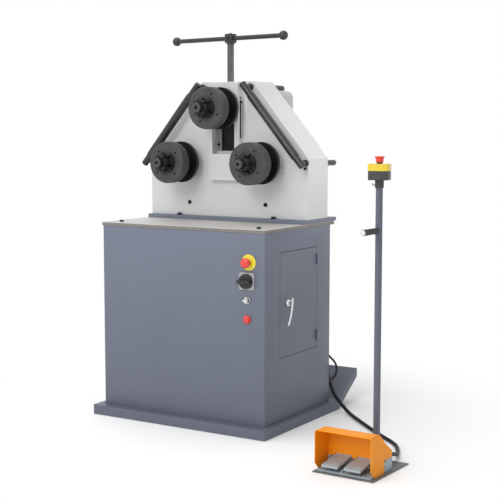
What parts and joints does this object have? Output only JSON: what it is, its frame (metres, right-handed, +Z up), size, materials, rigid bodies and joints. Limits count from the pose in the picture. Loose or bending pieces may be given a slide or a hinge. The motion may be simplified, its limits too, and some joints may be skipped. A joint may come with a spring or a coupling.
{
  "type": "ring roller",
  "caption": "Three-roll ring and profile bender on a sheet-metal cabinet, with screw-fed upper roll, gear-driven lower rolls, foot switch and emergency stop post.",
  "frame": {"origin": "middle of the cabinet's plan, on the underside of the plinth", "axes": "+X to the operator's right along the front, +Y from the front to the back, +Z up"},
  "size_m": [1.4434, 1.0504, 1.5965],
  "materials": {
    "cabinet_paint": "satin",
    "head_paint": "satin",
    "machined_steel": "satin",
    "dark_steel": "satin",
    "black_steel": "satin",
    "bright_metal": "polished",
    "gear_steel": "satin",
    "pedal_casting": "satin",
    "guard_orange": "satin",
    "yellow_plastic": "gloss",
    "red_plastic": "gloss",
    "black_plastic": "matte",
    "grey_plastic": "matte",
    "black_rubber": "matte",
    "bronze": "satin",
    "foot_paint": "satin",
    "galvanised": "satin"
  },
  "bodies": {
    "stand": {"plinth": "cabinet_paint", "cabinet_shell": "cabinet_paint", "table_plate": "machined_steel", "head_base_plate": "cabinet_paint", "head_housing": "head_paint", "slot_frame": "head_paint", "slide_keeper_left": "machined_steel", "slide_keeper_right": "machined_steel", "bearing_flange_left": "head_paint", "bearing_flange_right": "head_paint", "screw_nut": "bronze", "guide_bar_left": "dark_steel", "guide_bar_right": "dark_steel", "rest_rod_left": "dark_steel", "rest_rod_right": "dark_steel", "rest_rod_top": "dark_steel", "gearbox": "head_paint", "motor_body": "head_paint", "fan_cowl": "head_paint", "stop_label": "yellow_plastic", "isolator_plate": "grey_plastic", "selector_bezel": "bright_metal", "pilot_lamp": "red_plastic", "electrical_plate": "galvanised", "contactor_bank": "black_plastic", "cable_entry_box": "black_plastic", "foot_plate": "foot_paint", "pedal_guard": "guard_orange", "pedal_housing": "pedal_casting", "pedal_axle": "gear_steel", "station_post": "cabinet_paint", "post_grip": "black_rubber", "stop_box_base": "black_plastic", "stop_box_cover": "yellow_plastic", "pedal_cable": "black_rubber", "thin_cable": "black_rubber", "cable_sleeve": "black_rubber"},
    "slide": {"slide_block": "black_steel"},
    "screw": {"pressure_screw": "dark_steel", "tommy_bar": "dark_steel"},
    "upper_spool": {"upper_shaft": "dark_steel", "upper_roller": "dark_steel", "upper_clamp_nut": "dark_steel"},
    "left_spool": {"lower_left_shaft": "dark_steel", "lower_left_roller": "dark_steel", "lower_left_clamp_nut": "dark_steel", "left_gear": "gear_steel"},
    "right_spool": {"lower_right_shaft": "dark_steel", "lower_right_roller": "dark_steel", "lower_right_clamp_nut": "dark_steel", "right_gear": "gear_steel"},
    "pinion": {"drive_pinion": "gear_steel"},
    "door": {"door": "cabinet_paint"},
    "door_lever": {"door_lever": "bright_metal"},
    "stop_button": {"stop_mushroom": "red_plastic"},
    "isolator_switch": {"isolator_knob": "black_plastic"},
    "selector_switch": {"selector_knob": "black_plastic"},
    "left_pedal": {"left_pedal": "pedal_casting"},
    "right_pedal": {"right_pedal": "pedal_casting"},
    "post_button": {"post_mushroom": "red_plastic"}
  },
  "joints": [
    {"name": "slide_lift", "type": "slide", "parent": "stand", "child": "slide", "axis": [0, 0, 1], "range_m": [-0.1, 0.004]},
    {"name": "screw_turn", "type": "hinge", "parent": "slide", "child": "screw", "pos_m": [0, 0.1072, 1.2842], "axis": [0, 0, 1], "range_deg": [-7300, 300]},
    {"name": "upper_spin", "type": "hinge", "parent": "slide", "child": "upper_spool", "pos_m": [0, -0.0465, 1.2842], "axis": [0, 1, 0], "continuous": true},
    {"name": "left_spin", "type": "hinge", "parent": "stand", "child": "left_spool", "pos_m": [-0.2, 0.0335, 1.0582], "axis": [0, 1, 0], "continuous": true},
    {"name": "right_spin", "type": "hinge", "parent": "stand", "child": "right_spool", "pos_m": [0.2, 0.0335, 1.0582], "axis": [0, 1, 0], "continuous": true},
    {"name": "pinion_spin", "type": "hinge", "parent": "stand", "child": "pinion", "pos_m": [0, 0.2335, 1.0582], "axis": [0, 1, 0], "continuous": true},
    {"name": "door_swing", "type": "hinge", "parent": "stand", "child": "door", "pos_m": [0.4021, 0.1485, 0.505], "axis": [0, 0, 1], "range_deg": [0, 110]},
    {"name": "lever_turn", "type": "hinge", "parent": "door", "child": "door_lever", "pos_m": [0.3965, -0.1055, 0.512], "axis": [1, 0, 0], "range_deg": [0, 90]},
    {"name": "stop_press", "type": "slide", "parent": "stand", "child": "stop_button", "axis": [0, 1, 0], "range_m": [0, 0.005]},
    {"name": "isolator_turn", "type": "hinge", "parent": "stand", "child": "isolator_switch", "pos_m": [0.3165, -0.2665, 0.6107], "axis": [0, 1, 0], "range_deg": [0, 90]},
    {"name": "selector_turn", "type": "hinge", "parent": "stand", "child": "selector_switch", "pos_m": [0.3165, -0.2665, 0.5355], "axis": [0, 1, 0], "range_deg": [-45, 45]},
    {"name": "left_pedal_press", "type": "hinge", "parent": "stand", "child": "left_pedal", "pos_m": [0.84068, -0.45513, 0.03], "axis": [0.9995, -0.0332, 0], "range_deg": [0, 8], "stiffness_Nm_per_rad": 4, "springref_deg": -6.88},
    {"name": "right_pedal_press", "type": "hinge", "parent": "stand", "child": "right_pedal", "pos_m": [0.93013, -0.4581, 0.03], "axis": [0.9995, -0.0332, 0], "range_deg": [0, 8], "stiffness_Nm_per_rad": 4, "springref_deg": -6.88},
    {"name": "post_stop_press", "type": "slide", "parent": "stand", "child": "post_button", "axis": [0, 0, -1], "range_m": [0, 0.005]}
  ],
  "couplings": [
    {"joint": "screw_turn", "follows": "slide_lift", "rad_per_m": 1256.6},
    {"joint": "right_spin", "follows": "left_spin", "ratio": 1},
    {"joint": "pinion_spin", "follows": "left_spin", "ratio": -1.6667}
  ]
}
